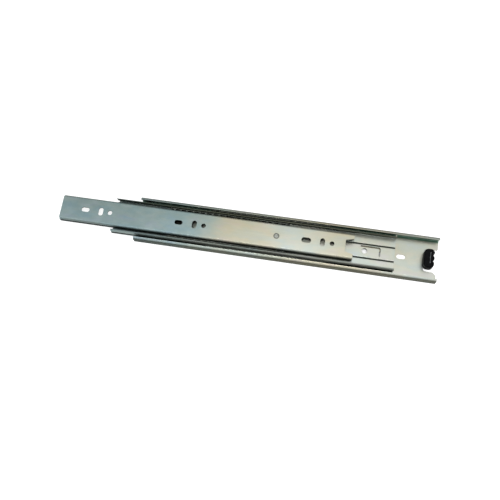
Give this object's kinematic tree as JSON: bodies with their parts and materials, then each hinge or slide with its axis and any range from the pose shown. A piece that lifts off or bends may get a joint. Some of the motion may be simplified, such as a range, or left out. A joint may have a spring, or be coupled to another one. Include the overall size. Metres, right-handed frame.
{
  "type": "drawer slide",
  "caption": "Full-extension ball-bearing drawer slide: a channel, a middle rail and a drawer rail, partly pulled out, with a rubber stop at the back.",
  "frame": {"origin": "the middle of the cabinet member's front edge, on its back face, which lies on the cabinet side", "axes": "+X along the slide towards the back of the cabinet, the drawer opens towards -X; Y across the channels; +Z from the cabinet side to the drawer"},
  "size_m": [0.378, 0.0454, 0.0127],
  "materials": {
    "zinc_steel": "bright zinc plating",
    "cage_steel": "dull zinc plating",
    "ball_steel": "polished bearing balls",
    "rivet_steel": "bright formed rivet",
    "black_rubber": "smooth moulded rubber",
    "black_plastic": "fine moulded texture"
  },
  "bodies": {
    "cabinet": {"cabinet_member": "zinc_steel", "rear_bumper": "black_rubber"},
    "intermediate": {"intermediate_member": "zinc_steel"},
    "drawer": {"drawer_member": "zinc_steel", "lever_rivet": "rivet_steel"},
    "outer_retainer_upper": {"outer_retainer_upper": "cage_steel", "outer_balls_upper_front": "ball_steel", "outer_balls_upper_rear": "ball_steel"},
    "outer_retainer_lower": {"outer_retainer_lower": "cage_steel", "outer_balls_lower_front": "ball_steel", "outer_balls_lower_rear": "ball_steel"},
    "inner_retainer": {"inner_retainer": "cage_steel", "inner_balls_upper_front": "ball_steel", "inner_balls_upper_rear": "ball_steel", "inner_balls_lower_front": "ball_steel", "inner_balls_lower_rear": "ball_steel"},
    "release_lever": {"release_lever": "black_plastic"}
  },
  "joints": [
    {"name": "intermediate_slide", "type": "slide", "parent": "cabinet", "child": "intermediate", "axis": [-1, 0, 0], "range_m": [-0.027, 0.123]},
    {"name": "drawer_slide", "type": "slide", "parent": "intermediate", "child": "drawer", "axis": [-1, 0, 0], "range_m": [-0.054, 0.096]},
    {"name": "outer_retainer_upper_slide", "type": "slide", "parent": "cabinet", "child": "outer_retainer_upper", "axis": [-1, 0, 0], "range_m": [-0.0135, 0.0615]},
    {"name": "outer_retainer_lower_slide", "type": "slide", "parent": "cabinet", "child": "outer_retainer_lower", "axis": [-1, 0, 0], "range_m": [-0.0135, 0.0615]},
    {"name": "inner_retainer_slide", "type": "slide", "parent": "intermediate", "child": "inner_retainer", "axis": [-1, 0, 0], "range_m": [-0.027, 0.048]},
    {"name": "release_lever_turn", "type": "hinge", "parent": "drawer", "child": "release_lever", "pos_m": [0.1415, 0, 0.0084], "axis": [0, 0, 1], "range_deg": [0, 6], "stiffness_Nm_per_rad": 0.02}
  ],
  "couplings": [
    {"joint": "outer_retainer_upper_slide", "follows": "intermediate_slide", "ratio": 0.5},
    {"joint": "outer_retainer_lower_slide", "follows": "intermediate_slide", "ratio": 0.5},
    {"joint": "inner_retainer_slide", "follows": "drawer_slide", "ratio": 0.5}
  ]
}
